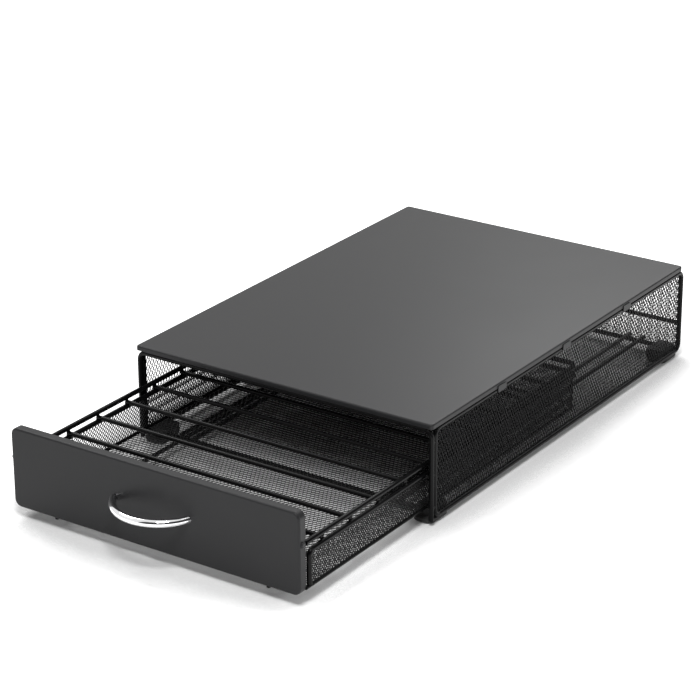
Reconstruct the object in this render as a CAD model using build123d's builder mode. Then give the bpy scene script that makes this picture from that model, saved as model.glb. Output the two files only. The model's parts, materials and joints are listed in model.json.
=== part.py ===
from build123d import *
from math import ceil, radians, tan
import os

# Coffee capsule drawer: a steel cabinet of bent rods, mesh walls and a sheet top,
# and a mesh basket drawer that slides out of it on wire rails.
#
# Millimetres. X is the width, +Y runs from the drawer front to the back, +Z is up.
# The origin is on the countertop, under the middle of the whole object with the
# drawer pulled out by drawer_open.

# ---------------------------------------------------------------- driving sizes

# Cabinet
top_width = 302.0           # pressed top panel
top_depth = 429.0
top_height = 4.3            # depth of its turned-down edge
top_corner = 3.0
top_edge_bend = 1.5
sheet = 1.0                 # steel sheet of the top panel and the drawer front
frame_height = 82.0         # outer height of the side frames
frame_rod = 4.5             # bent rods of the cabinet's frame
frame_bend = 7.0            # radius of a frame's corner, to the rod's middle
arch_setback = 0.75         # front of the arch behind the edge of the top panel
back_rod = 4.0              # straight rod behind the drawer
back_bar_height = 34.0      # of the middle bar at the back, to its middle
bar_rod = 4.5               # straight rods across the bottom
rail_rod = 4.0
rail_pair = 14.5            # between the two rails of a pair
rail_foot_gap = 13.5        # outer rail of a pair to the foot beside it
rail_back_gap = 1.0         # rail ends to the back mesh
clip_width = 13.0           # tabs that tie the top panel to the side frames
clip_overlap = 2.0          # of a tab on the panel's turned-down edge
clip_grip = 3.6             # of a tab on the frame's rod
clip_sheet = 0.8
clips_per_side = 3

# Feet
foot_height = 4.5           # countertop to the underside of the frames
foot_block = 8.0            # height of the block inside the corner, above that
foot_width = 20.0
foot_length = 29.0
foot_inset = 2.0            # behind the outside of the frames
foot_round = 7.0
foot_edge = 1.5

# Drawer
drawer_open = 172.5         # how far out the drawer stands
basket_back_gap = 1.75      # closed basket to the bars across the back
front_side_gap = 3.5        # front panel to the posts beside it
front_low = 6.0             # lower edge of the front panel above the underside of the frames
front_corner = 6.5
front_edge_bend = 1.8
front_return = 8.0          # depth of the edge turned back round the front panel
rim_rod = 4.4               # the two rods round the top of the basket
rim_height = 53.5           # of the upper rod's middle above the countertop
rim_bend = 9.0
rivet_head = 5.4            # rivets that tie the upper rod to the front panel's edge
rivet_dome = 1.5
bottom_rod = 3.0            # rod round the basket's floor
leg_setback = 3.0           # front legs of the lower rod behind the panel's edge
leg_bend = 5.0
row_wire = 4.0
row_count = 10
row_pitch = 38.7
first_row = 31.0            # front face to the first row wire
glide_wire = 3.6            # wires under the floor that run between the rails
hook_length = 7.0           # how far a glide's front end turns down
glide_bend = 4.0

# Handle
handle_span = 73.0          # between the bow's ends, to the bar's middle
handle_reach = 24.6         # panel to the middle of the bow
handle_bar = 6.4
handle_height = 47.0        # of the bow's middle above the countertop
screw_inset = 0.6           # of a screw from the bar's middle, towards the bow's middle
screw_shank = 3.0
screw_head = 8.0
screw_head_height = 2.4
screw_grip = 3.5            # how far a screw goes into the handle

# Mesh
mesh_gauge = 0.8            # thickness of one layer of strands
mesh_strand = 1.5           # width of a strand
mesh_pitch = 14.0           # along the wall, from strand to strand
mesh_slant = 45.0           # of a strand from the wall's upright
mesh_border = 2.5

# Clearances
weld_gap = 0.1              # between rods that are welded side by side
screw_gap = 0.1             # round a screw's shank
running_gap = 0.3           # drawer on its rails, and a hook on its stop
front_gap = 1.0             # front panel to the rod above it, and a foot to the closed panel

# ---------------------------------------------------------------- derived places

frame_radius = frame_rod / 2
half_frame = top_width / 2 - frame_radius          # middle of a side frame's rod
post_inside = half_frame - frame_radius
frame_low = foot_height + frame_radius             # middle of its bottom run
frame_high = foot_height + frame_height - frame_radius
panel_bottom = foot_height + frame_height

pad_x = top_width / 2 - foot_inset - foot_width / 2     # middle of a foot
rail_inner = pad_x - foot_width / 2 - rail_foot_gap - rail_rod / 2 - rail_pair

bar_top = frame_low + bar_rod / 2
rail_z = bar_top + rail_rod / 2
floor_z = bar_top + rail_rod + running_gap         # underside of the basket
glide_z = floor_z - glide_wire / 2
glide_x = rail_inner + rail_pair / 2

front_width = top_width - 2 * (frame_rod + front_side_gap)
front_height = frame_height - frame_rod - front_gap - front_low
front_z = foot_height + front_low
half_basket = front_width / 2 - sheet / 2          # middle of the basket's side rods
rim_radius = rim_rod / 2
row_z = rim_height - rim_radius - weld_gap - row_wire / 2
lower_rim = row_z - row_wire / 2 - weld_gap - rim_radius
bottom_radius = bottom_rod / 2
bottom_z = floor_z + bottom_radius

# Y of the cabinet's front edge: half the overall length in front of the origin
# is taken by the open drawer and its handle.
frame_depth = top_depth + frame_rod                # front edge to the back of the side frames
cabinet_y = (drawer_open + handle_reach + handle_bar / 2 - frame_depth) / 2
arch_y = cabinet_y + arch_setback + frame_radius
frame_front_y = arch_y + frame_rod + weld_gap
back_y = cabinet_y + frame_depth - frame_radius

drawer_y = cabinet_y - drawer_open                 # drawer's front face
drawer_length = frame_depth - frame_radius - mesh_gauge - weld_gap - back_rod - basket_back_gap
return_y = drawer_y + front_return                 # back of the front's turned edge
basket_y = drawer_y + drawer_length - rim_radius   # middle of the rods across the back
hook_y = return_y + weld_gap + glide_wire / 2
leg_y = return_y + leg_setback + rim_radius
front_bar_y = hook_y + drawer_open + glide_wire / 2 + running_gap + bar_rod / 2
back_bar_y = back_y - mesh_gauge - weld_gap - back_rod / 2
low_bar_y = back_y - mesh_gauge - weld_gap - bar_rod / 2

os.makedirs("parts", exist_ok=True)


# ---------------------------------------------------------------- shared forms

def save(piece, name):
    """Label a finished piece and write it as its own file."""
    piece.label = name
    export_step(piece, f"parts/{name}.step")


def straight_rod(start, end, diameter):
    """A round rod from one point to another."""
    with BuildPart() as rod:
        with BuildLine() as route:
            Line(start, end)
        with BuildSketch(Plane(origin=start, z_dir=route.line % 0)):
            Circle(diameter / 2)
        sweep()
    return rod.part


def bent_rod(points, bends, diameter, closed=False):
    """A round rod bent at every corner of its route."""
    with BuildPart() as rod:
        with BuildLine() as route:
            FilletPolyline(*points, radius=bends, close=closed)
        with BuildSketch(Plane(origin=route.line @ 0, z_dir=route.line % 0)):
            Circle(diameter / 2)
        sweep()
    return rod.part


def strand_layer(plane, length, height, corner, slant):
    """One layer of a mesh wall: slanting strands in a narrow border."""
    spread = length + height * tan(radians(mesh_slant))
    with BuildPart() as layer:
        with BuildSketch(plane):
            with GridLocations(mesh_pitch, 0, ceil(spread / mesh_pitch), 1):
                Rectangle(mesh_strand, 2 * (height + mesh_strand), rotation=slant)
            with GridLocations(length - mesh_border, 0, 2, 1):
                Rectangle(mesh_border, height)
            with GridLocations(0, height - mesh_border, 1, 2):
                Rectangle(length, mesh_border)
            RectangleRounded(length, height, corner, mode=Mode.INTERSECT)
        extrude(amount=mesh_gauge)
    return layer.part


def mesh_wall(plane, length, height, corner):
    """A mesh wall: two layers of strands, one leaning each way, back to back."""
    rising = strand_layer(plane, length, height, corner, mesh_slant)
    falling = strand_layer(plane.offset(-mesh_gauge), length, height, corner, -mesh_slant)
    return Compound(rising.solids() + falling.solids())


def domed_block(plane, width, height, depth, corner, edge_bend):
    """A rounded block on a plane, with its far edges rounded too."""
    with BuildPart() as block:
        with BuildSketch(plane):
            RectangleRounded(width, height, corner)
        extrude(amount=depth)
        fillet(block.faces().sort_by(Axis(plane.origin, plane.z_dir))[-1].edges(), radius=edge_bend)
    return block.part


def pressed_pan(rim_plane, width, height, depth, corner, edge_bend):
    """A sheet pressed into a shallow pan whose rim lies in the plane."""
    inside = domed_block(rim_plane, width - 2 * sheet, height - 2 * sheet, depth - sheet, corner - sheet,
                         edge_bend - sheet)
    with BuildPart() as pan:
        add(domed_block(rim_plane, width, height, depth, corner, edge_bend))
        add(inside, mode=Mode.SUBTRACT)
    return pan.part


# ---------------------------------------------------------------- cabinet: frame

for side, sign in (("left", -1), ("right", 1)):
    x = sign * half_frame
    loop = [(x, frame_front_y, frame_low), (x, back_y, frame_low), (x, back_y, frame_high),
            (x, frame_front_y, frame_high)]
    save(bent_rod(loop, frame_bend, frame_rod, closed=True), f"side_frame_{side}")

arch_run = [(-half_frame, arch_y, foot_height), (-half_frame, arch_y, frame_high),
            (half_frame, arch_y, frame_high), (half_frame, arch_y, foot_height)]
save(bent_rod(arch_run, frame_bend, frame_rod), "front_arch")

bar_reach = post_inside - weld_gap
cross_bars = {
    "front_bottom_bar": (front_bar_y, frame_low, bar_rod),
    "back_bottom_bar": (low_bar_y, frame_low, bar_rod),
    "back_middle_bar": (back_bar_y, back_bar_height, back_rod),
    "back_top_bar": (back_bar_y, frame_high, back_rod),
}
for name, (y, z, diameter) in cross_bars.items():
    save(straight_rod((-bar_reach, y, z), (bar_reach, y, z), diameter), name)

# The rails lie on the two bottom bars.
rail_front = front_bar_y - bar_rod / 2
rail_back = back_y - mesh_gauge - rail_back_gap
for side, sign in (("left", -1), ("right", 1)):
    for place, x in (("inner", rail_inner), ("outer", rail_inner + rail_pair)):
        rail = straight_rod((sign * x, rail_front, rail_z), (sign * x, rail_back, rail_z), rail_rod)
        save(rail, f"rail_{side}_{place}")

# ---------------------------------------------------------------- cabinet: mesh

wall_z = (frame_high + frame_low) / 2
wall_height = frame_high - frame_low - frame_rod - 2 * weld_gap
wall_y = (frame_front_y + back_y) / 2
wall_length = back_y - frame_front_y - frame_rod - 2 * weld_gap
wall_corner = frame_bend - frame_radius - weld_gap
for side, sign in (("left", -1), ("right", 1)):
    plane = Plane(origin=(sign * half_frame, wall_y, wall_z), x_dir=(0, 1, 0), z_dir=(1, 0, 0))
    save(mesh_wall(plane, wall_length, wall_height, wall_corner), f"side_mesh_{side}")

back_plane = Plane(origin=(0, back_y, wall_z), x_dir=(1, 0, 0), z_dir=(0, -1, 0))
save(mesh_wall(back_plane, 2 * bar_reach, wall_height, mesh_border), "back_mesh")

# ---------------------------------------------------------------- cabinet: top

top_middle = cabinet_y + top_depth / 2
top_plane = Plane(origin=(0, top_middle, panel_bottom))
save(pressed_pan(top_plane, top_width, top_depth, top_height, top_corner, top_edge_bend), "top_panel")

# Tabs on the outside, at even shares of the panel's depth.
clip_pitch = top_depth / (clips_per_side + 1)
clip_z = panel_bottom + (clip_overlap - clip_grip) / 2
with BuildPart() as clips:
    for sign in (-1, 1):
        side_plane = Plane(origin=(sign * top_width / 2, top_middle, clip_z), x_dir=(0, 1, 0),
                           z_dir=(sign, 0, 0))
        with BuildSketch(side_plane):
            with GridLocations(clip_pitch, 0, clips_per_side, 1):
                RectangleRounded(clip_width, clip_overlap + clip_grip, clip_sheet)
        extrude(amount=clip_sheet)
save(clips.part, "top_clips")

# ---------------------------------------------------------------- cabinet: feet

pad_top = foot_height - weld_gap
block_outside = post_inside - weld_gap
block_inside = pad_x - foot_width / 2
front_pad = cabinet_y + arch_setback + foot_inset + foot_length / 2
rear_pad = back_y + frame_radius - foot_inset - foot_length / 2
foot_places = {
    "front": (front_pad, cabinet_y + front_return + front_gap, front_pad + foot_length / 2, front_bar_y),
    "rear": (rear_pad, rear_pad - foot_length / 2, back_y - mesh_gauge - weld_gap, low_bar_y),
}
for end, (pad_y, block_front, block_back, bar_y) in foot_places.items():
    for side, sign in (("left", -1), ("right", 1)):
        with BuildPart() as foot:
            # Pad under the corner of the frame
            with BuildSketch():
                with Locations((sign * pad_x, pad_y)):
                    RectangleRounded(foot_width, foot_length, foot_round)
            extrude(amount=pad_top)
            chamfer(foot.faces().sort_by(Axis.Z)[0].edges(), length=foot_edge)
            # Block that fills the corner inside the frame
            with BuildSketch(Plane.XY.offset(pad_top)):
                with Locations((sign * (block_outside + block_inside) / 2, (block_front + block_back) / 2)):
                    RectangleRounded(block_outside - block_inside, block_back - block_front, foot_round / 2)
            extrude(amount=foot_block + weld_gap)
            fillet(foot.faces().sort_by(Axis.Z)[-1].edges(), radius=foot_edge)
            # Groove for the bar across the bottom
            with BuildSketch(Plane.YZ.offset(sign * pad_x)):
                with Locations((bar_y, frame_low)):
                    Circle(bar_rod / 2 + weld_gap)
            extrude(amount=foot_width, both=True, mode=Mode.SUBTRACT)
        save(foot.part, f"foot_{end}_{side}")

# ---------------------------------------------------------------- drawer: front

front_middle = front_z + front_height / 2
front_rim = Plane(origin=(0, return_y, front_middle), x_dir=(1, 0, 0), z_dir=(0, -1, 0))
front_face = Plane(origin=(0, drawer_y, handle_height), x_dir=(1, 0, 0), z_dir=(0, -1, 0))
screw_span = handle_span - 2 * screw_inset
with BuildPart() as drawer_front:
    add(pressed_pan(front_rim, front_width, front_height, front_return, front_corner, front_edge_bend))
    with BuildSketch(front_face):
        with GridLocations(screw_span, 0, 2, 1):
            Circle(screw_shank / 2 + screw_gap)
    extrude(amount=-sheet, mode=Mode.SUBTRACT)
save(drawer_front.part, "drawer_front")

# A round bar bent to an arc: a ring, of which only what lies in front of the panel is kept.
bow_radius = (handle_span ** 2 / 4 + handle_reach ** 2) / (2 * handle_reach)
with BuildPart() as handle:
    with Locations((0, drawer_y - handle_reach + bow_radius, handle_height)):
        Torus(bow_radius, handle_bar / 2)
    split(bisect_by=front_face)
    with BuildSketch(front_face):
        with GridLocations(screw_span, 0, 2, 1):
            Circle(screw_shank / 2 + screw_gap)
    extrude(amount=screw_grip + screw_gap, mode=Mode.SUBTRACT)
save(handle.part, "handle")

with BuildPart() as handle_screws:
    head_plane = front_face.offset(-sheet)
    with BuildSketch(head_plane):
        with GridLocations(screw_span, 0, 2, 1):
            Circle(screw_head / 2)
    extrude(amount=-screw_head_height)
    fillet(handle_screws.faces().sort_by(Axis.Y)[-2:].edges(), radius=screw_head_height / 2)
    with BuildSketch(head_plane):
        with GridLocations(screw_span, 0, 2, 1):
            Circle(screw_shank / 2)
    extrude(amount=sheet + screw_grip)
save(handle_screws.part, "handle_screws")

# ---------------------------------------------------------------- drawer: basket rods

rod_start = return_y + weld_gap
upper_run = [(-half_basket, rod_start, rim_height), (-half_basket, basket_y, rim_height),
             (half_basket, basket_y, rim_height), (half_basket, rod_start, rim_height)]
save(bent_rod(upper_run, rim_bend, rim_rod), "rim_rod_upper")

rivet_x = front_width / 2 + weld_gap
rivet_y = drawer_y + front_return / 2
with BuildPart() as front_rivets:
    for sign in (-1, 1):
        with BuildSketch(Plane(origin=(sign * rivet_x, rivet_y, rim_height), z_dir=(sign, 0, 0))):
            Circle(rivet_head / 2)
        extrude(amount=rivet_dome)
    crowns = front_rivets.faces().sort_by(Axis.X)
    fillet(crowns[0].edges() + crowns[-1].edges(), radius=rivet_dome * 0.9)
save(front_rivets.part, "front_rivets")

# The lower rod turns down at the front and stands on the bottom rod.
leg_foot = floor_z + bottom_rod + weld_gap
lower_run = [(-half_basket, leg_y, leg_foot), (-half_basket, leg_y, lower_rim),
             (-half_basket, basket_y, lower_rim), (half_basket, basket_y, lower_rim),
             (half_basket, leg_y, lower_rim), (half_basket, leg_y, leg_foot)]
lower_bends = [leg_bend, rim_bend, rim_bend, leg_bend]
save(bent_rod(lower_run, lower_bends, rim_rod), "rim_rod_lower")

bottom_run = [(x, y, bottom_z) for x, y, z in upper_run]
save(bent_rod(bottom_run, rim_bend, bottom_rod), "bottom_rod")

cross_reach = half_basket - bottom_radius - weld_gap
front_wire = straight_rod((-cross_reach, hook_y, bottom_z), (cross_reach, hook_y, bottom_z), bottom_rod)
save(front_wire, "front_cross_wire")

# Row wires lie between the two upper rods, one in front of each row but the first.
for number in range(row_count):
    y = drawer_y + first_row + number * row_pitch
    wire = straight_rod((-half_basket, y, row_z), (half_basket, y, row_z), row_wire)
    save(wire, f"row_wire_{number + 1:02d}")

# Each glide hangs between two rails; its front end turns down and meets the front bar.
for side, sign in (("left", -1), ("right", 1)):
    x = sign * glide_x
    glide_run = [(x, hook_y, glide_z - hook_length), (x, hook_y, glide_z), (x, basket_y, glide_z)]
    save(bent_rod(glide_run, glide_bend, glide_wire), f"glide_wire_{side}")

# ---------------------------------------------------------------- drawer: mesh

floor_front = hook_y + bottom_radius + weld_gap
floor_back = basket_y - bottom_radius - weld_gap
floor_plane = Plane(origin=(0, (floor_front + floor_back) / 2, floor_z + mesh_gauge), x_dir=(0, 1, 0),
                    z_dir=(0, 0, 1))
floor_corner = rim_bend - bottom_radius - weld_gap
save(mesh_wall(floor_plane, floor_back - floor_front, 2 * cross_reach, floor_corner), "floor_mesh")

basket_low = floor_z + bottom_rod + weld_gap
basket_high = lower_rim - rim_radius - weld_gap
basket_z = (basket_low + basket_high) / 2
side_front = leg_y + rim_radius + weld_gap
side_back = basket_y - rim_bend
for side, sign in (("left", -1), ("right", 1)):
    plane = Plane(origin=(sign * half_basket, (side_front + side_back) / 2, basket_z), x_dir=(0, 1, 0),
                  z_dir=(1, 0, 0))
    wall = mesh_wall(plane, side_back - side_front, basket_high - basket_low, mesh_border)
    save(wall, f"basket_mesh_{side}")

rear_plane = Plane(origin=(0, basket_y, basket_z), x_dir=(1, 0, 0), z_dir=(0, -1, 0))
save(mesh_wall(rear_plane, 2 * (half_basket - rim_bend), basket_high - basket_low, mesh_border),
     "basket_mesh_rear")
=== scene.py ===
# %% [markdown]
# # A coffee capsule drawer in black wire and mesh
#
# The object is a low countertop stand. A steel cabinet of bent rods, mesh walls and a
# sheet top holds a mesh basket that slides out at the front by a bright handle.
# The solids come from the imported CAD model, in metres, and stay where they are. This
# lesson gives them their finishes, weaves the fine mesh that is too small for the
# solids, adds the welds and the screw heads, and sets up the light and the camera.

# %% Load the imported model
import json
from math import cos, pi, radians, sin

import bmesh
import bpy
from mathutils import Matrix, Vector


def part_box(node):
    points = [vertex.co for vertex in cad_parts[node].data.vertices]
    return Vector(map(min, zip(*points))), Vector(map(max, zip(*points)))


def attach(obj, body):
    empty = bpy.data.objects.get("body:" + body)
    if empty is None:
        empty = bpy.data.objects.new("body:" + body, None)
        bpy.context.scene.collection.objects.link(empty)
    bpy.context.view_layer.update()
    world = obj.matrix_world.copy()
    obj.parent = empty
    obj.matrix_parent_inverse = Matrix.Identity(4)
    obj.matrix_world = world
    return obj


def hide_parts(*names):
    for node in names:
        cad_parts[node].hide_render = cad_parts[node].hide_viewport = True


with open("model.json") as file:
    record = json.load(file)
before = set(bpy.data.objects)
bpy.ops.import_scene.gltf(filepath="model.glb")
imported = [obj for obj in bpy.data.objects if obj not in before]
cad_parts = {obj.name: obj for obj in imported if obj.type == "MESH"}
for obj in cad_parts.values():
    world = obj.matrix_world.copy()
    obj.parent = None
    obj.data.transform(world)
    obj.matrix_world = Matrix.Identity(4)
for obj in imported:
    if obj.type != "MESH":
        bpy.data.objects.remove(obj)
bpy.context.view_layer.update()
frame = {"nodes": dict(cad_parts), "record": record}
scene = bpy.context.scene
MM = 0.001

# %% [markdown]
# ## Small helpers for nodes
#
# Materials, the world and Geometry Nodes are all trees of nodes. Each node is made,
# gets its settings, and has its inputs linked or filled. One helper does all three, so
# that a recipe reads as a list of its values.

# %% Node helpers
def set_inputs(tree, node, inputs):
    """Fill a node's inputs. Each value is a socket to link, or a plain number or vector."""
    for socket, value in inputs.items():
        if isinstance(value, bpy.types.NodeSocket):
            tree.links.new(value, node.inputs[socket])
        else:
            node.inputs[socket].default_value = value


def add_node(tree, kind, inputs=None, **settings):
    """A new node with its settings and its inputs."""
    node = tree.nodes.new(kind)
    for setting, value in settings.items():
        setattr(node, setting, value)
    set_inputs(tree, node, inputs or {})
    return node


def arithmetic(tree, operation, *operands):
    """The result of a Math node. Each operand is a socket or a number."""
    return add_node(tree, "ShaderNodeMath", dict(enumerate(operands)), operation=operation).outputs[0]


# %% [markdown]
# ## Small helpers for finishes
#
# Every finish here is a Principled shader whose roughness and bump come from noise.
# The noise reads Object coordinates. All pieces sit at the origin, so those are plain
# metres, and a pattern keeps its real size on every piece. Noise seldom reaches its
# ends, so the helpers stretch the middle of its range.

# %% Material helpers
noise_low, noise_high = 0.35, 0.65      # nearly all of a noise lies between these


def blank_finish(name):
    """A new material. Returns it with its node tree and its Principled shader."""
    material = bpy.data.materials.new(name)
    material.use_nodes = True
    return material, material.node_tree, material.node_tree.nodes["Principled BSDF"]


def noise(tree, size, detail=3.0):
    """Noise whose features are about `size` metres across."""
    place = add_node(tree, "ShaderNodeTexCoord").outputs["Object"]
    pattern = {"Vector": place, "Scale": 1.0 / size, "Detail": detail}
    return add_node(tree, "ShaderNodeTexNoise", pattern).outputs["Fac"]


def spread(tree, value, low, high):
    """Stretch the middle of a noise value to run from low to high."""
    ends = {"From Min": noise_low, "From Max": noise_high, "To Min": low, "To Max": high}
    return add_node(tree, "ShaderNodeMapRange", {"Value": value, **ends}).outputs["Result"]


def blend_colours(tree, value, dark, light):
    """Mix two colours by a noise value."""
    ramp = add_node(tree, "ShaderNodeValToRGB", {"Fac": value})
    for stop, place, colour in zip(ramp.color_ramp.elements, (noise_low, noise_high), (dark, light)):
        stop.position = place
        stop.color = (*colour, 1.0)
    return ramp.outputs["Color"]


def raised(tree, height, depth):
    """Bump: `depth` metres between the low and the high of the height value."""
    bump = {"Height": height, "Strength": 1.0, "Distance": depth}
    return add_node(tree, "ShaderNodeBump", bump).outputs["Normal"]


# %% [markdown]
# ## Finishes
#
# The steel is powder coated in satin black. Powder melts into a skin with a faint
# orange peel, a millimetre or so from crest to crest. The wide sheets show every
# change, so theirs is nearly even. On the thin wires the same powder flows out
# glossier, and the mesh holds a duller, uneven coat.

# %% Powder coats
coat_clouds = 90 * MM           # width of the faint clouds in a coat


def powder_coat(name, dark, light, rough_low, rough_high, peel, depth, gloss):
    """Satin black powder coat with cloudy roughness and orange peel."""
    material, tree, shader = blank_finish(name)
    clouds = noise(tree, coat_clouds)
    set_inputs(tree, shader, {
        "Base Color": blend_colours(tree, clouds, dark, light),
        "Roughness": spread(tree, clouds, rough_low, rough_high),
        "Specular IOR Level": gloss,
        "Normal": raised(tree, noise(tree, peel, detail=2.0), depth),
    })
    return material


sheet_black = powder_coat("satin_black_sheet", (0.019, 0.019, 0.02), (0.021, 0.021, 0.022),
                          0.34, 0.365, peel=1.1 * MM, depth=0.012 * MM, gloss=0.17)
wire_black = powder_coat("satin_black_wire", (0.002, 0.002, 0.0022), (0.004, 0.004, 0.0042),
                         0.18, 0.25, peel=1.6 * MM, depth=0.02 * MM, gloss=0.10)
mesh_black = powder_coat("coated_mesh", (0.007, 0.007, 0.0075), (0.010, 0.010, 0.0105),
                         0.34, 0.46, peel=0.9 * MM, depth=0.03 * MM, gloss=0.22)
print("powder coats:", sheet_black.name, wire_black.name, mesh_black.name)

# %% [markdown]
# The handle is polished and chrome plated. A real plated bow is nearly a mirror, yet
# never a perfect one: polishing leaves broad, faint waves, and fingers leave patches
# that are a little duller. The screws behind the front are only zinc plated, which is
# greyer and has a fine grain.

# %% Bright metal
finger_patches = 12 * MM


def plated(name, dark, light, rough_low, rough_high, wave, depth):
    """Bright plating over polished metal."""
    material, tree, shader = blank_finish(name)
    patches = noise(tree, finger_patches)
    set_inputs(tree, shader, {
        "Base Color": blend_colours(tree, patches, dark, light),
        "Metallic": 1.0,
        "Roughness": spread(tree, patches, rough_low, rough_high),
        "Normal": raised(tree, noise(tree, wave, detail=1.0), depth),
    })
    return material


handle_chrome = plated("polished_chrome", (0.78, 0.78, 0.79), (0.86, 0.86, 0.87), 0.03, 0.07,
                       wave=6 * MM, depth=0.02 * MM)
screw_zinc = plated("zinc_plate", (0.52, 0.53, 0.55), (0.62, 0.63, 0.65), 0.25, 0.38,
                    wave=0.7 * MM, depth=0.01 * MM)
print("plated:", handle_chrome.name, screw_zinc.name)

# %% [markdown]
# The feet are moulded in matt black rubber. The mould gives it a fine, even grain, and
# handling leaves patches that are a little smoother.

# %% Rubber
rubber_patches = 8 * MM
rubber_grain = 0.6 * MM


def soft_rubber(name):
    """Matt black rubber with a moulded grain."""
    material, tree, shader = blank_finish(name)
    patches = noise(tree, rubber_patches)
    set_inputs(tree, shader, {
        "Base Color": blend_colours(tree, patches, (0.011, 0.011, 0.011), (0.02, 0.02, 0.02)),
        "Roughness": spread(tree, patches, 0.62, 0.82),
        "Normal": raised(tree, noise(tree, rubber_grain), depth=0.06 * MM),
    })
    return material


foot_rubber = soft_rubber("foot_rubber")
print("rubber:", foot_rubber.name)

# %% [markdown]
# Each CAD node carries the name of a slot in the part's record. The finish goes into
# the node's own material slots, so its mesh is left exactly as it was packed.

# %% Dress the CAD nodes
finishes = {
    "black_sheet": sheet_black,
    "black_wire": wire_black,
    "black_mesh": mesh_black,
    "bright_handle": handle_chrome,
    "zinc_screw": screw_zinc,
    "foot_rubber": foot_rubber,
}
for entry in frame["record"]["subparts"]:
    node = frame["nodes"][entry["node"]]
    finish = finishes[entry["material_slot"]]
    if not node.material_slots:
        node.data.materials.append(finish)
    for place in node.material_slots:
        place.material = finish

# %% [markdown]
# ## The mesh, woven by Geometry Nodes
#
# The walls are expanded steel: a sheet is slit and pulled, and the strips between the
# slits open into diamonds. Seen as lines, one strip runs in zigzags, and its peaks
# join the troughs of the next strip. Modelling thousands of diamonds by hand is no
# use, and cutting holes in a sheet gives a heavy, fragile mesh. So one tree makes a
# zigzag along a path, repeats it upwards with every second strip mirrored, and sweeps
# a thin square section along it. The path can be straight or bent, so the same tree
# makes the flat walls, the floor, and the basket's wall that turns round its corners.
#
# Every tree starts with named inputs and ends with a finish, so those two ends come
# first.

# %% Start and end of a tree
def new_tree(name, inputs):
    """A tree with named inputs that gives a mesh. Returns it with its inputs' sockets."""
    tree = bpy.data.node_groups.new(name, "GeometryNodeTree")
    for label, kind in inputs.items():
        tree.interface.new_socket(label, in_out="INPUT", socket_type=kind)
    tree.interface.new_socket("Mesh", in_out="OUTPUT", socket_type="NodeSocketGeometry")
    return tree, add_node(tree, "NodeGroupInput").outputs


def end_tree(tree, geometry, finish):
    """Give the geometry its finish and hand it out."""
    painted = add_node(tree, "GeometryNodeSetMaterial", {"Geometry": geometry, "Material": finish})
    add_node(tree, "NodeGroupOutput", {"Mesh": painted.outputs["Geometry"]})


def lift(tree, direction, amount):
    """A vector along `direction`, `amount` long."""
    scaled = {0: direction, "Scale": amount}
    return add_node(tree, "ShaderNodeVectorMath", scaled, operation="SCALE").outputs[0]


# %% [markdown]
# In the mesh tree, every second point of an evenly divided path goes up by half a
# strip's height, and the others go down. That strip lies in the first, third and fifth
# row, and its mirror image in the rows between, so that peaks meet troughs.

# %% Node tree for the mesh
def stacked_rows(tree, given, strip, first_row):
    """The strip in every second row, from row 0 or row 1 on."""
    height, rise = given["Strip height"], given["Stacking direction"]
    rows = arithmetic(tree, "MULTIPLY", arithmetic(tree, "ADD", given["Strips"], 1.0 - first_row), 0.5)
    places = add_node(tree, "GeometryNodeMeshLine", {
        "Count": arithmetic(tree, "FLOOR", rows),
        "Start Location": lift(tree, rise, arithmetic(tree, "MULTIPLY", height, 0.5 + first_row)),
        "Offset": lift(tree, rise, arithmetic(tree, "MULTIPLY", height, 2.0)),
    })
    copies = {"Points": places.outputs["Mesh"], "Instance": strip}
    return add_node(tree, "GeometryNodeInstanceOnPoints", copies).outputs["Instances"]


def make_mesh_tree():
    """Strips of expanded metal along a path, stacked in one direction."""
    tree, given = new_tree("Expanded metal along a path", {
        "Path": "NodeSocketGeometry",
        "Cells along the path": "NodeSocketInt",
        "Strips": "NodeSocketInt",
        "Strip height": "NodeSocketFloat",
        "Stacking direction": "NodeSocketVector",
        "Strand width": "NodeSocketFloat",
        "Finish": "NodeSocketMaterial",
    })
    points_along = arithmetic(tree, "MULTIPLY_ADD", given["Cells along the path"], 2.0, 1.0)
    even = add_node(tree, "GeometryNodeResampleCurve", {"Curve": given["Path"], "Count": points_along})
    number = add_node(tree, "GeometryNodeInputIndex").outputs[0]
    up_or_down = arithmetic(tree, "SUBTRACT", arithmetic(tree, "MODULO", number, 2.0), 0.5)
    swing = arithmetic(tree, "MULTIPLY", up_or_down, given["Strip height"])
    square = {"Width": given["Strand width"], "Height": given["Strand width"]}
    section = add_node(tree, "GeometryNodeCurvePrimitiveQuadrilateral", square)

    together = add_node(tree, "GeometryNodeJoinGeometry")
    for first_row, mirror in enumerate((1.0, -1.0)):
        zigzag = add_node(tree, "GeometryNodeSetPosition", {
            "Geometry": even.outputs["Curve"],
            "Offset": lift(tree, given["Stacking direction"], arithmetic(tree, "MULTIPLY", swing, mirror)),
        })
        swept = add_node(tree, "GeometryNodeCurveToMesh", {
            "Curve": zigzag.outputs["Geometry"],
            "Profile Curve": section.outputs["Curve"],
            "Fill Caps": True,
        })
        set_inputs(tree, together, {0: stacked_rows(tree, given, swept.outputs["Mesh"], first_row)})
    real = add_node(tree, "GeometryNodeRealizeInstances", {"Geometry": together.outputs["Geometry"]})
    end_tree(tree, real.outputs["Geometry"], given["Finish"])
    return tree


mesh_tree = make_mesh_tree()
print("tree:", mesh_tree.name, len(mesh_tree.nodes), "nodes")

# %% [markdown]
# A tree works on an object that carries it as a modifier. Its result is turned into a
# plain mesh, because a model that leaves Blender takes meshes along, but no trees.

# %% From a tree to a plain mesh
def add_object(name, data):
    """A new object in the scene, at the origin."""
    made = bpy.data.objects.new(name, data)
    scene.collection.objects.link(made)
    return made


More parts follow.
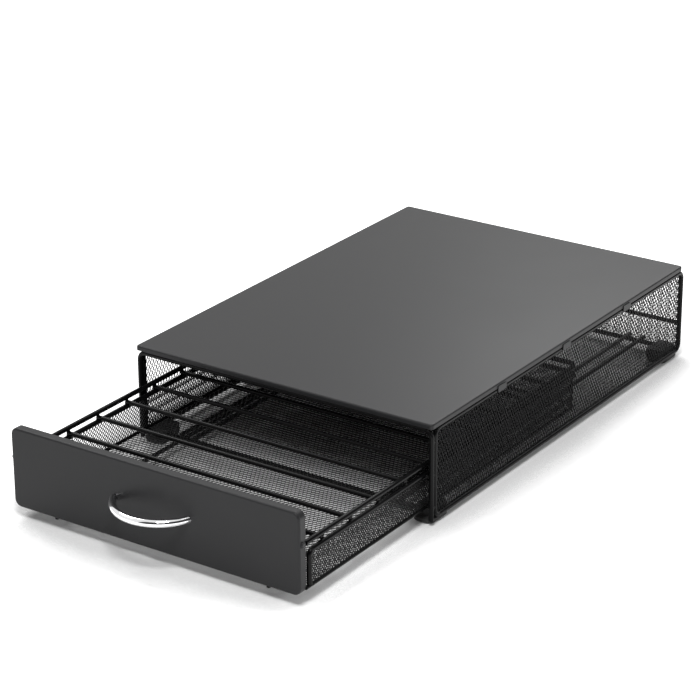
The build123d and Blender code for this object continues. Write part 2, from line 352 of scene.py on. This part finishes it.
def finished_mesh(source, name):
    """Turn an object with live modifiers into a plain mesh object."""
    view = bpy.context.evaluated_depsgraph_get()
    data = bpy.data.meshes.new_from_object(source.evaluated_get(view))
    bpy.data.objects.remove(source)
    return add_object(name, data)


def grown(source, name, tree, values):
    """The plain mesh that a tree makes from the source object and the named values."""
    identifiers = {socket.name: socket.identifier for socket in tree.interface.items_tree}
    tool = source.modifiers.new(tree.name, "NODES")
    tool.node_group = tree
    for label, value in values.items():
        tool[identifiers[label]] = value
    return finished_mesh(source, name)


# %% [markdown]
# A path is a plain line of points. All walls have cells of one width and strands of one
# thickness. The number of cells is the path's length divided by that width, rounded, so
# that the strips end exactly in the rods that carry them.

# %% Paths and walls
cell_width = 3.85 * MM
strand = 0.68 * MM


def line_object(name, points):
    """A curve object through the points."""
    curve = bpy.data.curves.new(name, "CURVE")
    curve.dimensions = "3D"
    run = curve.splines.new("POLY")
    run.points.add(len(points) - 1)
    for place, point in zip(run.points, points):
        place.co = (*point, 1.0)
    return add_object(name, curve)


def weave(name, points, rise, height, cell_height):
    """A wall of expanded metal along the points, `height` high in the direction `rise`."""
    length = sum((Vector(b) - Vector(a)).length for a, b in zip(points, points[1:]))
    cells = round(length / cell_width)
    strips = round(height / (cell_height / 2))
    made = grown(line_object(name + "_path", points), name, mesh_tree, {
        "Cells along the path": cells,
        "Strips": strips,
        "Strip height": height / strips,
        "Stacking direction": rise,
        "Strand width": strand,
        "Finish": mesh_black,
    })
    print(f"{name}: {cells} cells, {strips} strips, {len(made.data.polygons)} faces")
    return made


# %% [markdown]
# The cabinet's walls have tall diamonds, about 3.85 mm wide and 6.85 mm high. Each
# wall fills the opening of its frame and runs a little way into the rods, where the
# real one is welded.

# %% Cabinet walls
tall_cell = 6.85 * MM
tuck = 0.6 * MM                 # how far a wall runs into the rods round it
upwards = (0.0, 0.0, 1.0)

for side in ("left", "right"):
    low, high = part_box(f"side_mesh_{side}")
    x = (low.x + high.x) / 2
    ends = [(x, low.y - tuck, low.z - tuck), (x, high.y + tuck, low.z - tuck)]
    wall = weave(f"fine_side_mesh_{side}", ends, upwards, high.z - low.z + 2 * tuck, tall_cell)
    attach(wall, "cabinet")
    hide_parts(f"side_mesh_{side}")

low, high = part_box("back_mesh")
y = (low.y + high.y) / 2
ends = [(low.x - tuck, y, low.z - tuck), (high.x + tuck, y, low.z - tuck)]
back_wall = weave("fine_back_mesh", ends, upwards, high.z - low.z + 2 * tuck, tall_cell)
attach(back_wall, "cabinet")
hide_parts("back_mesh")

# %% [markdown]
# The basket's wall is one strip of finer mesh, with diamonds about as wide as they are
# high. It starts at the left front leg, turns round both rear corners under the rods,
# and ends at the right front leg. Each corner is a quarter circle, worked out from its
# middle and radius.

# %% Basket wall
fine_cell = 4.0 * MM
rod_radius = 2.2 * MM           # of the two rods of the rim
rod_bend = 9.0 * MM             # radius of their rear corners, to a rod's middle
bend_steps = 8
rod_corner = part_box("rim_rod_lower")[1]
rod_x = rod_corner.x - rod_radius
rod_y = rod_corner.y - rod_radius
wall_low, wall_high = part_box("basket_mesh_left")


def basket_path(z):
    """The basket's wall seen from above, from the left leg round the back to the right leg."""
    points = [(-rod_x, wall_low.y - tuck, z)]
    for middle_x, first in ((-rod_x + rod_bend, pi), (rod_x - rod_bend, pi / 2)):
        for step in range(bend_steps + 1):
            turn = first - pi / 2 * step / bend_steps
            points.append((middle_x + rod_bend * cos(turn), rod_y - rod_bend + rod_bend * sin(turn), z))
    points.append((rod_x, wall_low.y - tuck, z))
    return points


basket_wall = weave("fine_basket_mesh", basket_path(wall_low.z - tuck), upwards,
                    wall_high.z - wall_low.z + 2 * tuck, fine_cell)
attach(basket_wall, "drawer")
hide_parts("basket_mesh_left", "basket_mesh_right", "basket_mesh_rear")

# %% [markdown]
# The basket's floor is a flat piece of the cabinet's mesh. Its strips run across the
# drawer and are stacked from front to back.

# %% Basket floor
low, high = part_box("floor_mesh")
z = (low.z + high.z) / 2
ends = [(low.x - tuck, low.y - tuck, z), (high.x + tuck, low.y - tuck, z)]
floor_wall = weave("fine_floor_mesh", ends, (0.0, 1.0, 0.0), high.y - low.y + 2 * tuck, tall_cell)
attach(floor_wall, "drawer")
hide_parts("floor_mesh")

# %% [markdown]
# ## Welds
#
# The rods and wires are welded where they meet. Each weld is a small uneven bead in
# the groove between two rods. A second tree puts one bead on every point it is given,
# turns and scales each by chance from a fixed seed, and then roughens them all with
# noise, so that no two beads are alike.

# %% Node tree for the welds
lumps_per_metre = 700.0
smallest, largest = 0.85, 1.1           # of a bead, against its radius


def by_chance(tree, seed, low, high):
    """A random vector for each point, with every part between low and high."""
    limits = {"Min": (low, low, low), "Max": (high, high, high), "Seed": seed}
    return add_node(tree, "FunctionNodeRandomValue", limits, data_type="FLOAT_VECTOR").outputs["Value"]


def make_bead_tree():
    """An uneven bead on every point."""
    tree, given = new_tree("Weld beads on points", {
        "Points": "NodeSocketGeometry",
        "Bead radius": "NodeSocketFloat",
        "Unevenness": "NodeSocketFloat",
        "Seed": "NodeSocketInt",
        "Finish": "NodeSocketMaterial",
    })
    ball = {"Radius": given["Bead radius"], "Subdivisions": 3}
    beads = add_node(tree, "GeometryNodeInstanceOnPoints", {
        "Points": given["Points"],
        "Instance": add_node(tree, "GeometryNodeMeshIcoSphere", ball).outputs["Mesh"],
        "Rotation": by_chance(tree, given["Seed"], 0.0, pi),
        "Scale": by_chance(tree, given["Seed"], smallest, largest),
    })
    real = add_node(tree, "GeometryNodeRealizeInstances", {"Geometry": beads.outputs["Instances"]})

    lumps = add_node(tree, "ShaderNodeTexNoise", {"Scale": lumps_per_metre}).outputs["Fac"]
    push = arithmetic(tree, "MULTIPLY", arithmetic(tree, "SUBTRACT", lumps, 0.5), given["Unevenness"])
    outward = add_node(tree, "GeometryNodeInputNormal").outputs[0]
    uneven = add_node(tree, "GeometryNodeSetPosition", {
        "Geometry": real.outputs["Geometry"],
        "Offset": lift(tree, outward, push),
    })
    smooth = add_node(tree, "GeometryNodeSetShadeSmooth", {"Geometry": uneven.outputs["Geometry"]})
    end_tree(tree, smooth.outputs["Geometry"], given["Finish"])
    return tree


bead_tree = make_bead_tree()
print("tree:", bead_tree.name, len(bead_tree.nodes), "nodes")

# %% [markdown]
# The places of the welds come from the boxes of the rods themselves: the end of each
# cross bar, each rail on both bottom bars, the two posts of the front arch, every row
# wire between the two rods of the rim, and both ends of the wires under the floor.

# %% Places of the welds
arch_weld_heights = (16 * MM, 45 * MM, 74 * MM)
row_end = 0.4 * MM              # from the end of a row wire to its welds


def centre(name):
    """Middle of a node's box."""
    low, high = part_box(name)
    return (low + high) / 2


cabinet_welds = []
for bar in ("front_bottom_bar", "back_bottom_bar", "back_middle_bar", "back_top_bar"):
    low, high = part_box(bar)
    cabinet_welds += [(x, centre(bar).y, centre(bar).z) for x in (low.x, high.x)]
for bar in ("front_bottom_bar", "back_bottom_bar"):
    for rail in ("rail_left_outer", "rail_left_inner", "rail_right_inner", "rail_right_outer"):
        cabinet_welds.append((centre(rail).x, centre(bar).y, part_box(rail)[0].z))
post_x = centre("side_frame_right").x
arch_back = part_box("front_arch")[1].y
cabinet_welds += [(x, arch_back, z) for x in (-post_x, post_x) for z in arch_weld_heights]

rim_welds = []
for wire in sorted(name for name in frame["nodes"] if name.startswith("row_wire_")):
    low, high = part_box(wire)
    for x in (low.x + row_end, high.x - row_end):
        rim_welds += [(x, centre(wire).y, z) for z in (low.z, high.z)]

floor_welds = []
for side in ("left", "right"):
    low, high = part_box(f"glide_wire_{side}")
    x = (low.x + high.x) / 2
    floor_welds += [(x, y, high.z) for y in (centre("front_cross_wire").y, high.y)]
print("welds:", len(cabinet_welds), "on the cabinet,", len(rim_welds) + len(floor_welds), "on the basket")

# %% [markdown]
# A thicker rod takes a bigger bead. The beads of one size are one object, which rides
# on the body that its rods belong to.

# %% Weld beads
bead_lumps = 0.4 * MM           # from the bottom of a bead's lumps to their top
bead_seed = 7


def weld_beads(name, body, points, radius):
    """One bead of weld on each point, as one object that rides on the body."""
    data = bpy.data.meshes.new(name + "_points")
    data.from_pydata(points, [], [])
    made = grown(add_object(name + "_points", data), name, bead_tree, {
        "Bead radius": radius,
        "Unevenness": bead_lumps,
        "Seed": bead_seed,
        "Finish": wire_black,
    })
    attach(made, body)
    print(f"{name}: {len(points)} beads, {len(made.data.polygons)} faces")


weld_beads("cabinet_welds", "cabinet", cabinet_welds, 2.15 * MM)
weld_beads("rim_welds", "drawer", rim_welds, 1.7 * MM)
weld_beads("floor_welds", "drawer", floor_welds, 1.5 * MM)

# %% [markdown]
# ## Screw heads
#
# The two handle screws come through the sheet from inside the drawer. Each is a pan
# head with a cross recess, so the plain solid gets a finer copy. Head and shank are
# round, so their outline is drawn once and turned round an axis.

# %% Screw blank
screw_low, screw_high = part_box("handle_screws")
head_radius = (screw_high.z - screw_low.z) / 2
head_height = 2.4 * MM
dome_foot = 0.8 * MM            # height at which the head's dome starts
dome_steps = 8
head_edge = 0.15 * MM
shank_radius = 1.5 * MM
shank_edge = 0.3 * MM
shank_length = screw_high.y - screw_low.y - head_height
turned_sides = 40


def mesh_of(name, shape):
    """Keep a working shape as mesh data."""
    data = bpy.data.meshes.new(name)
    shape.to_mesh(data)
    shape.free()
    return data


def ring(shape, radius, height):
    """The corners of a circle at this height, or one point on the axis."""
    if radius == 0.0:
        return [shape.verts.new((0.0, 0.0, height))]
    angles = [2 * pi * k / turned_sides for k in range(turned_sides)]
    return [shape.verts.new((radius * cos(angle), radius * sin(angle), height)) for angle in angles]


def turned(name, outline):
    """A closed solid turned from (radius, height) pairs round the Z axis."""
    shape = bmesh.new()
    rings = [ring(shape, radius, height) for radius, height in outline]
    for lower, upper in zip(rings, rings[1:]):
        for k in range(turned_sides):
            ahead = (k + 1) % turned_sides
            corners = [lower[k % len(lower)], lower[ahead % len(lower)],
                       upper[ahead % len(upper)], upper[k % len(upper)]]
            shape.faces.new(dict.fromkeys(corners))
    bmesh.ops.recalc_face_normals(shape, faces=shape.faces)
    return add_object(name, mesh_of(name, shape))


dome_height = head_height - dome_foot
dome_angles = [pi / 2 * k / dome_steps for k in range(dome_steps + 1)]
dome = [(head_radius * sin(angle), dome_foot + dome_height * cos(angle)) for angle in dome_angles]
under_head = [(head_radius, head_edge), (head_radius - head_edge, 0.0), (shank_radius, 0.0)]
shank_end = [(shank_radius, shank_edge - shank_length), (shank_radius - shank_edge, -shank_length),
             (0.0, -shank_length)]
head = turned("screw_head", dome + under_head + shank_end)
print("screw blank:", len(head.data.polygons), "faces")

# %% [markdown]
# The recess takes the point of a cross driver: two crossed wedges that narrow towards
# the bottom. A Boolean modifier cuts them out of the head.

# %% Cross recess
recess_top = (2.1 * MM, 0.55 * MM)      # half the length and half the width of a wedge
recess_bottom = (0.9 * MM, 0.3 * MM)
recess_depth = 1.4 * MM
above_head = 0.4 * MM


def cross_cutter(name):
    """Two crossed wedges, narrow at the bottom, that reach above the head."""
    shape = bmesh.new()
    for crosswise in (False, True):
        for corner in bmesh.ops.create_cube(shape, size=2.0)["verts"]:
            at_top = corner.co.z > 0
            long, short = recess_top if at_top else recess_bottom
            half_x, half_y = (short, long) if crosswise else (long, short)
            z = head_height + above_head if at_top else head_height - recess_depth
            corner.co = (corner.co.x * half_x, corner.co.y * half_y, z)
    bmesh.ops.recalc_face_normals(shape, faces=shape.faces)
    return add_object(name, mesh_of(name, shape))


cutter = cross_cutter("cross_cutter")
cut = head.modifiers.new("cross", "BOOLEAN")
cut.operation = "DIFFERENCE"
cut.solver = "EXACT"
cut.use_self = False
cut.object = cutter
recessed = finished_mesh(head, "recessed_head")
bpy.data.objects.remove(cutter)
print("with its recess:", len(recessed.data.polygons), "faces")

# %% [markdown]
# Both screws are copies of the same one. Each stopped turning at an angle of its own,
# so the two crosses don't line up.

# %% Both screws
screws = bmesh.new()
for side, stop_angle in ((-1, -5), (1, 45)):
    x = side * (screw_high.x - head_radius)
    place = Matrix.Translation((x, screw_high.y - head_height, centre("handle_screws").z))
    lean = Matrix.Rotation(radians(-90), 4, "X") @ Matrix.Rotation(radians(stop_angle), 4, "Z")
    copy = recessed.data.copy()
    copy.transform(place @ lean)
    screws.from_mesh(copy)
    bpy.data.meshes.remove(copy)
bpy.data.objects.remove(recessed)
fine_screws = add_object("fine_handle_screws", mesh_of("fine_handle_screws", screws))
fine_screws.data.materials.append(screw_zinc)
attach(fine_screws, "drawer")
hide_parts("handle_screws")
print("screws:", len(fine_screws.data.polygons), "faces")

# %% [markdown]
# ## Floor, light and camera
#
# The object stands on a plain pale floor in a white room. Under soft lamps such a floor
# comes out light grey, and stronger lamps would wash out the black steel. So the open
# floor is topped up to white by a glow, only for rays that come from the camera or that a
# surface mirrors. The glow fades out where ambient occlusion finds the object near the
# floor. This paints a soft shade under and beside the object that follows the drawer
# wherever it stands, and the lamps' own shadows show inside that painted shade.

# %% Floor
floor_half = 6.0
floor_clouds = 0.4
shade_reach = 0.14              # things this near, in metres, count as cover for the painted shade
shade_end, white_start = 0.62, 0.97     # how open the floor is where the top-up starts and is full


def see_white(tree):
    """1 for rays that look at the surroundings, straight, mirrored or through glass; 0 for light."""
    rays = add_node(tree, "ShaderNodeLightPath").outputs
    looks = arithmetic(tree, "MAXIMUM", rays["Is Camera Ray"], rays["Is Glossy Ray"])
    return arithmetic(tree, "MAXIMUM", looks, rays["Is Transmission Ray"])


def outside_painted_ao_shade(tree):
    """0 where ambient occlusion finds things near the floor, which paints shade there; 1 where it is open.
    """
    cover = add_node(tree, "ShaderNodeAmbientOcclusion", {"Distance": shade_reach}, samples=8)
    limits = {"Value": cover.outputs["AO"], "From Min": shade_end, "From Max": white_start}
    return add_node(tree, "ShaderNodeMapRange", limits, interpolation_type="SMOOTHSTEP").outputs["Result"]


# The floor's glow whitens the open floor and is taken away near the object, which paints the contact shade
# round it.
pale_floor, tree, shader = blank_finish("pale_floor")
set_inputs(tree, shader, {
    "Base Color": blend_colours(tree, noise(tree, floor_clouds), (0.80, 0.80, 0.80), (0.82, 0.82, 0.82)),
    "Roughness": 0.9,
    "Specular IOR Level": 0.0,
    "Emission Color": (1.0, 1.0, 1.0, 1.0),
    "Emission Strength": arithmetic(tree, "MULTIPLY", see_white(tree), outside_painted_ao_shade(tree)),
})
shape = bmesh.new()
bmesh.ops.create_grid(shape, x_segments=1, y_segments=1, size=floor_half)
floor = add_object("floor", mesh_of("floor", shape))
floor.data.materials.append(pale_floor)
print("floor:", 2 * floor_half, "m wide")

# %% [markdown]
# The world is white to look at but lights the object only a little, so that the lamps
# shape it. Bright metal needs something dark to reflect. So a low band of the room,
# round the front and the right, is dim, and only reflections see that it is.

# %% World
room_light = 0.35
dimming = 0.95
dim_heading = radians(72)       # middle of the dim band, turned from the front to the right


def window(tree, value, middle, half, soft):
    """1 where value is within `half` of `middle`, falling to 0 over `soft`."""
    apart = arithmetic(tree, "ABSOLUTE", arithmetic(tree, "SUBTRACT", value, middle))
    fall = {"Value": apart, "From Min": half, "From Max": half + soft, "To Min": 1.0, "To Max": 0.0}
    return add_node(tree, "ShaderNodeMapRange", fall, interpolation_type="SMOOTHSTEP").outputs["Result"]


world = bpy.data.worlds.new("studio")
scene.world = world
world.use_nodes = True
sky = world.node_tree

sight = add_node(sky, "ShaderNodeTexCoord").outputs["Generated"]
sight_height = add_node(sky, "ShaderNodeSeparateXYZ", {0: sight}).outputs["Z"]
heading = {0: sight, 1: (sin(dim_heading), -cos(dim_heading), 0.0)}
toward = add_node(sky, "ShaderNodeVectorMath", heading, operation="DOT_PRODUCT").outputs["Value"]
low_band = window(sky, sight_height, middle=0.40, half=0.38, soft=0.06)
one_side = window(sky, toward, middle=1.0, half=0.80, soft=0.2)
mirrored = add_node(sky, "ShaderNodeLightPath").outputs["Is Glossy Ray"]
dim = arithmetic(sky, "MULTIPLY", arithmetic(sky, "MULTIPLY", low_band, one_side), mirrored)
levels = {"Value": see_white(sky), "To Min": room_light, "To Max": 1.0}
level = add_node(sky, "ShaderNodeMapRange", levels).outputs["Result"]
set_inputs(sky, sky.nodes["Background"], {
    "Color": (1.0, 1.0, 1.0, 1.0),
    "Strength": arithmetic(sky, "MULTIPLY_ADD", dim, -dimming, level),
})
print("world:", len(sky.nodes), "nodes, light", room_light)

# %% [markdown]
# The lamps are broad and soft. The key lamp stands high over the front and lights the
# panel, the one behind brightens the sheet top, and the two at the sides draw the
# edges of the rods.

# %% Lamps
def softbox(name, place, aim, width, height, power):
    """A broad area lamp at `place` that faces `aim`."""
    data = bpy.data.lights.new(name, "AREA")
    data.shape = "RECTANGLE"
    data.size = width
    data.size_y = height
    data.energy = power
    lamp = add_object(name, data)
    lamp.location = place
    lamp.rotation_euler = (Vector(aim) - Vector(place)).to_track_quat("-Z", "Y").to_euler()
    print(f"{name}: {power} W, {width} x {height} m")


middle = (0.0, 0.0, 0.05)
drawer_front = (0.1, -0.3, 0.05)
softbox("key", (0.36, -0.74, 1.08), drawer_front, 0.36, 0.36, 10)
softbox("rear", (-0.2, 1.5, 1.1), middle, 1.2, 0.6, 9)
softbox("side", (1.5, 0.2, 0.6), middle, 0.8, 0.6, 5)
softbox("left", (-1.0, 0.1, 1.3), middle, 0.5, 0.5, 7)

# %% [markdown]
# The camera stands where a camera fitted to the photo's straight edges stands: some
# 35 degrees to the right of the drawer's front and 22 degrees up, with a long lens and
# hardly any tilt.

# %% Camera
azimuth = radians(35.225)
elevation = radians(22.40)
tilt = radians(-0.635)
eye = Vector((1.15881, -1.70741, 0.94397))

backward = Vector((sin(azimuth) * cos(elevation), -cos(azimuth) * cos(elevation), sin(elevation)))
level_right = Vector((cos(azimuth), sin(azimuth), 0.0))
level_up = backward.cross(level_right)
right = level_right * cos(tilt) + level_up * sin(tilt)
up = level_up * cos(tilt) - level_right * sin(tilt)

lens = bpy.data.cameras.new("camera")
lens.sensor_width = 36.0
lens.lens = 133.28
lens.shift_x = 0.0532
lens.shift_y = -0.0192
camera = add_object("camera", lens)
camera.matrix_world = Matrix.Translation(eye) @ Matrix((right, up, backward)).transposed().to_4x4()
scene.camera = camera
scene.view_settings.view_transform = "Standard"
print("camera:", tuple(round(value, 3) for value in eye), "lens:", round(lens.lens, 2), "mm")
